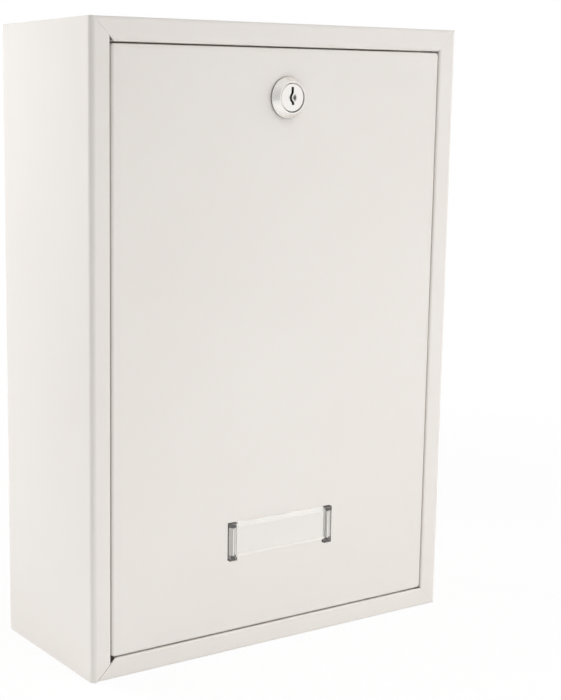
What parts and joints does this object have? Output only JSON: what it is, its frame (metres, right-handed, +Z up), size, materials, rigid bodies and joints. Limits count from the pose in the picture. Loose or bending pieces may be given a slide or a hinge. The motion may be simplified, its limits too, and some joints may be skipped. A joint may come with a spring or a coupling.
{
  "type": "lockable mailbox",
  "caption": "Folded steel mailbox with a framed front, a door that drops forward on two pins, a cam lock, a clear name window and a mail slot in the top.",
  "frame": {"origin": "middle of the base, in the plane that the mailbox stands on", "axes": "+Z up along the height, +Y towards the wall it hangs on, so the door faces -Y"},
  "size_m": [0.24, 0.1017, 0.34],
  "materials": {
    "cream_coat": "satin powder coat",
    "nickel": "plated, polished",
    "zinc_steel": "bright zinc plating",
    "brass": "plain stamped",
    "clear_plastic": "clear, moulded",
    "card": "plain card"
  },
  "bodies": {
    "case": {"case_wrap": "cream_coat", "top_panel": "cream_coat", "bottom_panel": "cream_coat", "door_stop_left": "cream_coat", "door_stop_right": "cream_coat", "hinge_pin_left": "zinc_steel", "hinge_pin_right": "zinc_steel"},
    "door": {"door_panel": "cream_coat", "lock_body": "nickel", "lock_washer": "zinc_steel", "lock_nut": "zinc_steel", "name_window": "clear_plastic", "name_card": "card"},
    "lock_barrel": {"lock_plug": "nickel", "lock_wafers": "brass", "wafer_springs": "zinc_steel", "stop_disc": "zinc_steel", "lock_cam": "zinc_steel", "cam_washer": "zinc_steel", "cam_screw": "zinc_steel"}
  },
  "joints": [
    {"name": "door_hinge", "type": "hinge", "parent": "case", "child": "door", "pos_m": [0, -0.0445, 0.02], "axis": [1, 0, 0], "range_deg": [0, 90]},
    {"name": "lock_turn", "type": "hinge", "parent": "door", "child": "lock_barrel", "pos_m": [0, -0.037, 0.30145], "axis": [0, 1, 0], "range_deg": [0, 90]}
  ]
}
